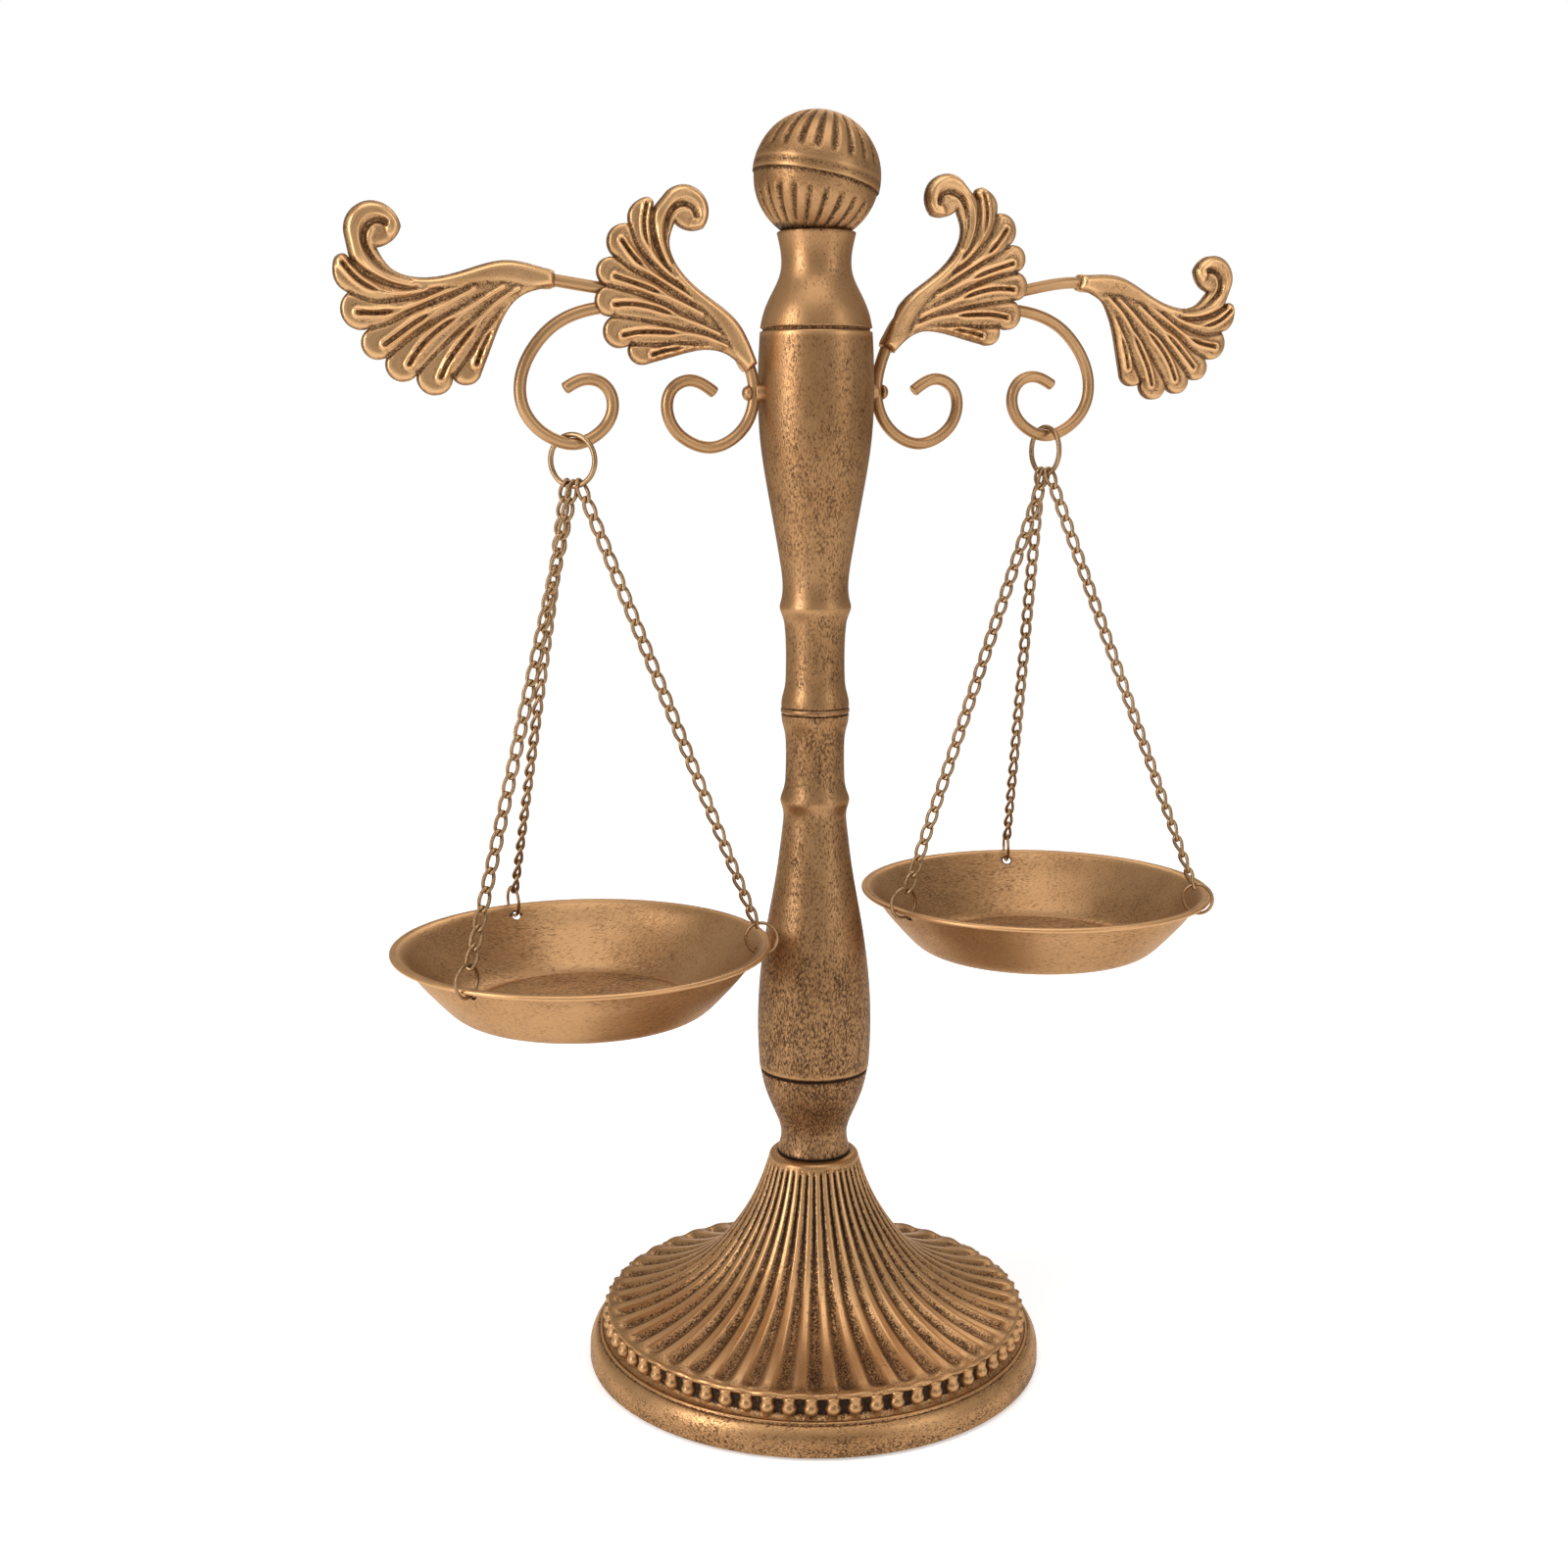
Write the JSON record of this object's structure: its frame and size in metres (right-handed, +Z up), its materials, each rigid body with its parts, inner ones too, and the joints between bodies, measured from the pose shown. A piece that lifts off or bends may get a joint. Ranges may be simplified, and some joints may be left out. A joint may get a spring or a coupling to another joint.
{
  "type": "equal arm balance scale",
  "caption": "Decorative equal arm balance: turned column on a fluted round base, scroll arms with acanthus leaves, pans hung from rings by chains.",
  "frame": {"origin": "centre of the felt under the foot", "axes": "+Z up along the column, X along the two arms, -Y is the front, where the leaves face"},
  "size_m": [0.3322, 0.1684, 0.449],
  "materials": {
    "cast_gold": "antique gold over dark patina",
    "leaf_gold": "antique gold, dark grooves",
    "wire_gold": "antique gold",
    "pan_gold": "dry-brushed antique gold",
    "chain_gold": "antiqued",
    "steel": "zinc plated",
    "felt": "dark felt"
  },
  "bodies": {
    "stand": {"felt_disc": "felt", "base_shell": "cast_gold", "base_washer": "steel", "base_nut": "steel", "tie_rod": "steel", "lower_column": "cast_gold", "column_coupling": "cast_gold", "upper_column": "cast_gold", "finial_washer": "steel", "finial_nut": "steel", "finial_lower_shell": "cast_gold", "finial_upper_shell": "cast_gold", "left_arm_wire": "wire_gold", "left_arm_boss": "wire_gold", "left_arm_screw": "wire_gold", "left_hook_scroll": "wire_gold", "left_inner_leaf": "leaf_gold", "left_outer_leaf": "leaf_gold", "right_arm_wire": "wire_gold", "right_arm_boss": "wire_gold", "right_arm_screw": "wire_gold", "right_hook_scroll": "wire_gold", "right_inner_leaf": "leaf_gold", "right_outer_leaf": "leaf_gold"},
    "left_ring": {"left_hook_ring": "wire_gold"},
    "left_pan_set": {"left_chain_1": "chain_gold", "left_chain_2": "chain_gold", "left_chain_3": "chain_gold", "left_pan_rings": "wire_gold", "left_pan": "pan_gold"},
    "right_ring": {"right_hook_ring": "wire_gold"},
    "right_pan_set": {"right_chain_1": "chain_gold", "right_chain_2": "chain_gold", "right_chain_3": "chain_gold", "right_pan_rings": "wire_gold", "right_pan": "pan_gold"}
  },
  "joints": [
    {"name": "left_ring_swing", "type": "hinge", "parent": "stand", "child": "left_ring", "pos_m": [-0.0874, 0, 0.33753], "axis": [1, 0, 0], "range_deg": [-20, 20]},
    {"name": "left_pan_swing", "type": "hinge", "parent": "left_ring", "child": "left_pan_set", "pos_m": [-0.0874, 0, 0.32363], "axis": [-0.6997, 0.7145, 0], "range_deg": [-1.5, 18]},
    {"name": "right_ring_swing", "type": "hinge", "parent": "stand", "child": "right_ring", "pos_m": [0.0905, 0, 0.34032], "axis": [1, 0, 0], "range_deg": [-20, 20]},
    {"name": "right_pan_swing", "type": "hinge", "parent": "right_ring", "child": "right_pan_set", "pos_m": [0.0905, 0, 0.32642], "axis": [-0.1305, 0.9914, 0], "range_deg": [-18, 2]}
  ]
}
